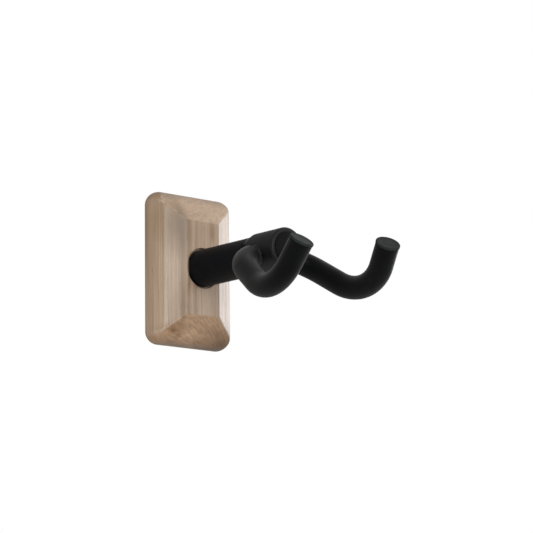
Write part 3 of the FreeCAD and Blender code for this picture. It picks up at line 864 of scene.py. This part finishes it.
def make_tip(material):
    """The end plug: a thin disc with a soft edge and a slightly sunk face, and the plug behind it."""
    radius = ARM_RADIUS + TIP_LIP
    plug_back = -TIP_THICKNESS - TIP_PLUG
    profile = [(TIP_MIDDLE, plug_back), (ROD_RADIUS, plug_back), (ROD_RADIUS, -TIP_THICKNESS)]
    profile += arc((radius - TIP_BACK_EDGE, TIP_BACK_EDGE - TIP_THICKNESS), TIP_BACK_EDGE, -90, 0, 4)
    profile += arc((radius - TIP_FRONT_EDGE, -TIP_FRONT_EDGE), TIP_FRONT_EDGE, 0, 90)
    rim_inside = radius - TIP_RIM_WIDTH
    profile += [(rim_inside, -TIP_RIM_FALL), (rim_inside - TIP_STEP_WIDTH, -TIP_SUNK)]
    profile += [(radius * 0.4, -TIP_SUNK), (TIP_MIDDLE, -TIP_SUNK)]
    rings = turned_rings(profile, 80, ARM_TIP, TIP_DIRECTION)
    return skin("right_end_plug", rings, material, "fans", sharp_degrees=50)


def on_hub(offset):
    """Where a line along the arm's root, moved sideways by offset, meets the hub's round side."""
    start = ARM_ROOT + offset
    # The distance t along the line solves a t^2 + 2 b t + c = 0
    a = ROOT_DIRECTION.x**2 + ROOT_DIRECTION.z**2
    b = start.x * ROOT_DIRECTION.x + start.z * ROOT_DIRECTION.z
    c = start.x**2 + start.z**2 - HUB_RADIUS**2
    return start + ROOT_DIRECTION * ((math.sqrt(b * b - a * c) - b) / a)


def weld_section(side, ripple):
    """The bead's section on one side of the rod: from its foot on the hub, over its bulge to its heel
    on the rod, and back along the rod. A ripple runs from 0 in a dip to 1 on a crest."""
    foot = on_hub(side * (WELD_FOOT + WELD_FOOT_RISE * ripple))
    heel_along = WELD_HEEL + WELD_HEEL_RISE * ripple
    heel = ARM_ROOT + ROOT_DIRECTION * heel_along + side * ROD_RADIUS
    corner = on_hub(side * ROD_RADIUS)
    section = []
    for share in [0.0] + shares(8):
        chord = foot.lerp(heel, share)
        bulge = math.sin(math.pi * share) * (WELD_BULGE + WELD_BULGE_RISE * ripple)
        section.append(chord + (chord - corner).normalized() * bulge)
    return section + [heel.lerp(corner, 0.5), corner]


def make_weld(material):
    """A hand-laid bead between the hub and the rod, in overlapping ripples."""
    up = ROOT_DIRECTION.cross(ROOT_ACROSS)
    sections = []
    for share in [0.0] + shares(96)[:-1]:
        angle = 2 * math.pi * share
        side = ROOT_ACROSS * math.cos(angle) + up * math.sin(angle)
        ripple = abs(math.sin(WELD_RIPPLES * angle / 2)) ** 0.6
        sections.append(weld_section(side, ripple))
    rings = list(zip(*sections))
    return skin("right_weld_bead", rings, material, "joined", sharp_degrees=60)


def make_both_arms(arm_look, tip_look, metal_look):
    """Make each right-hand piece and its left-hand copy, and turn both to rest."""
    kinds = [
        (make_arm(arm_look), "left_arm_tube", "arm_rubber", "arm_sleeve"),
        (make_tip(tip_look), "left_end_plug", "tip_rubber", "tip_cap"),
        (make_weld(metal_look), "left_weld_bead", "black_powder_coat", "weld"),
    ]
    for right, left_name, slot, node in kinds:
        left = mirrored_copy(right, left_name)
        for piece, side in ((right, "right_"), (left, "left_")):
            to_rest(piece)
            stand_for(piece, "yoke", side + node)


def make_cap(material):
    """The hub's push-in cap: a low crown with a soft rim, and a skirt."""
    crown_top = HUB_FRONT + CAP_RIM + CAP_CROWN
    crown_radius = (CAP_RADIUS**2 + CAP_CROWN**2) / (2 * CAP_CROWN)
    rim_round = (CAP_RADIUS - CAP_EDGE, HUB_FRONT + CAP_RIM - CAP_EDGE)
    skirt_back = HUB_FRONT - CAP_SKIRT_LENGTH
    bore = CAP_SKIRT_RADIUS - CAP_SKIRT_WALL
    profile = [(CAP_BACK_MIDDLE, HUB_FRONT), (bore, HUB_FRONT), (bore, skirt_back)]
    profile += [(CAP_SKIRT_RADIUS, skirt_back), (CAP_SKIRT_RADIUS, HUB_FRONT), (CAP_RADIUS, HUB_FRONT)]
    profile += arc(rim_round, CAP_EDGE, 0, 80, 5)
    for share in shares(12)[:-1]:
        radius = rim_round[0] * (1 - share) + CAP_FRONT_MIDDLE
        drop = crown_radius - math.sqrt(crown_radius**2 - radius**2)
        profile.append((radius, crown_top - drop))
    cap = skin("hub_front_cap", turned_rings(profile, 96), material, "fans", sharp_degrees=40)
    stand_for(cap, "yoke", "hub_cap")


# ---------------------------------------------------------------- CAD nodes that stay


def paint_nodes(coat):
    """Give the CAD nodes that show as they are their materials."""
    zinc = steel("zinc_plate", (0.66, 0.67, 0.70), (0.50, 0.52, 0.57), 0.34)
    spring = steel("spring_steel", (0.48, 0.48, 0.49), (0.34, 0.34, 0.36), 0.30)
    rod = steel("blackened_rod", (0.060, 0.060, 0.064), (0.035, 0.035, 0.038), 0.42)
    shaft = steel("blackened_shaft", (0.050, 0.050, 0.054), (0.028, 0.028, 0.031), 0.36, turned=True)
    plain_nylon = nylon()
    finish = {
        "wall_plate": zinc,
        "weld_nut": zinc,
        "clamp_washer": zinc,
        "retaining_washer": zinc,
        "stop_pin": spring,
        "wave_washer": spring,
        "stem_shaft": shaft,
        "pivot_screw": shaft,
        "left_arm_rod": rod,
        "right_arm_rod": rod,
        "yoke_hub": coat,
        "hub_bush": plain_nylon,
        "rear_thrust_washer": plain_nylon,
        "front_thrust_washer": plain_nylon,
    }
    for node, material in finish.items():
        mesh = frame["nodes"][node].data
        mesh.materials.clear()
        mesh.materials.append(material)


# ---------------------------------------------------------------- studio


def add_camera():
    data = bpy.data.cameras.new("camera")
    data.lens = CAMERA_LENS
    data.sensor_width = 36.0
    data.clip_start = 0.01
    data.clip_end = 50.0
    camera = new_object("camera", data)
    turn = Matrix.Rotation(-CAMERA_HEADING, 4, "Z") @ Matrix.Rotation(math.pi / 2 + CAMERA_PITCH, 4, "X")
    camera.matrix_world = Matrix.Translation(CAMERA_PLACE) @ turn @ Matrix.Rotation(CAMERA_ROLL, 4, "Z")
    bpy.context.scene.camera = camera


def add_softboxes():
    for name, (place, (width, height), radiance, colour) in SOFTBOXES.items():
        data = bpy.data.lights.new(name, "AREA")
        data.shape = "RECTANGLE"
        data.size = width
        data.size_y = height
        data.energy = radiance * math.pi * width * height
        data.color = colour
        light = new_object(name, data)
        light.location = place
        light.rotation_euler = (LIT_PLACE - Vector(place)).to_track_quat("-Z", "Y").to_euler()


def add_world():
    """White to look at. As light it is bright above and dark below."""
    world = bpy.data.worlds.new("studio")
    world.use_nodes = True
    bpy.context.scene.world = world
    nodes = world.node_tree.nodes
    link = world.node_tree.links.new
    nodes.clear()
    place = nodes.new("ShaderNodeTexCoord")
    lean = nodes.new("ShaderNodeVectorMath")
    lean.operation = "DOT_PRODUCT"
    lean.inputs[1].default_value = WORLD_LEAN
    shift = nodes.new("ShaderNodeMath")
    shift.operation = "ADD"
    shift.inputs[1].default_value = 0.5
    ramp = nodes.new("ShaderNodeValToRGB")
    dark, bright = ramp.color_ramp.elements
    dark.position = 0.1
    dark.color = (*WORLD_DARK, 1)
    bright.position = 0.9
    bright.color = (*WORLD_BRIGHT, 1)
    light = nodes.new("ShaderNodeBackground")
    seen = nodes.new("ShaderNodeBackground")
    seen.inputs["Color"].default_value = (*WHITE, 1)
    rays = nodes.new("ShaderNodeLightPath")
    choose = nodes.new("ShaderNodeMixShader")
    output = nodes.new("ShaderNodeOutputWorld")
    link(place.outputs["Generated"], lean.inputs[0])
    link(lean.outputs["Value"], shift.inputs[0])
    link(shift.outputs["Value"], ramp.inputs["Fac"])
    link(ramp.outputs["Color"], light.inputs["Color"])
    link(rays.outputs["Is Camera Ray"], choose.inputs["Fac"])
    link(light.outputs["Background"], choose.inputs[1])
    link(seen.outputs["Background"], choose.inputs[2])
    link(choose.outputs["Shader"], output.inputs["Surface"])


def add_floor():
    signs = ((-1, -1), (1, -1), (1, 1), (-1, 1))
    corners = [Vector((x * FLOOR_HALF_SIZE, y * FLOOR_HALF_SIZE, 0)) for x, y in signs]
    floor = finish_mesh("floor", corners, [(0, 1, 2, 3)], pale_floor())
    floor.location.z = FLOOR_HEIGHT


def add_studio():
    add_world()
    add_softboxes()
    add_floor()
    bpy.context.scene.view_settings.view_transform = "Standard"


# ---------------------------------------------------------------- everything

add_camera()
coat = powder_coat()
stem_look = rubber(
    "stem_rubber_skin", (0.0038, 0.0046, 0.0060), (0.0060, 0.0070, 0.0086), 2600.0, 0.5, relief=0.02 * MM
)
arm_look = rubber(
    "arm_rubber_skin", (0.0020, 0.0022, 0.0026), (0.0038, 0.0040, 0.0046), 2100.0, 0.5, sheen=0.19
)
tip_look = rubber("tip_rubber_skin", (0.022, 0.026, 0.0255), (0.030, 0.035, 0.034), 2400.0, 0.6)
plastic_look = rubber(
    "cap_plastic", (0.006, 0.006, 0.0066), (0.009, 0.009, 0.010), 3000.0, 0.42, relief=0.02 * MM
)
make_block()
make_stem(stem_look)
make_both_arms(arm_look, tip_look, coat)
make_cap(plastic_look)
paint_nodes(coat)
add_studio()
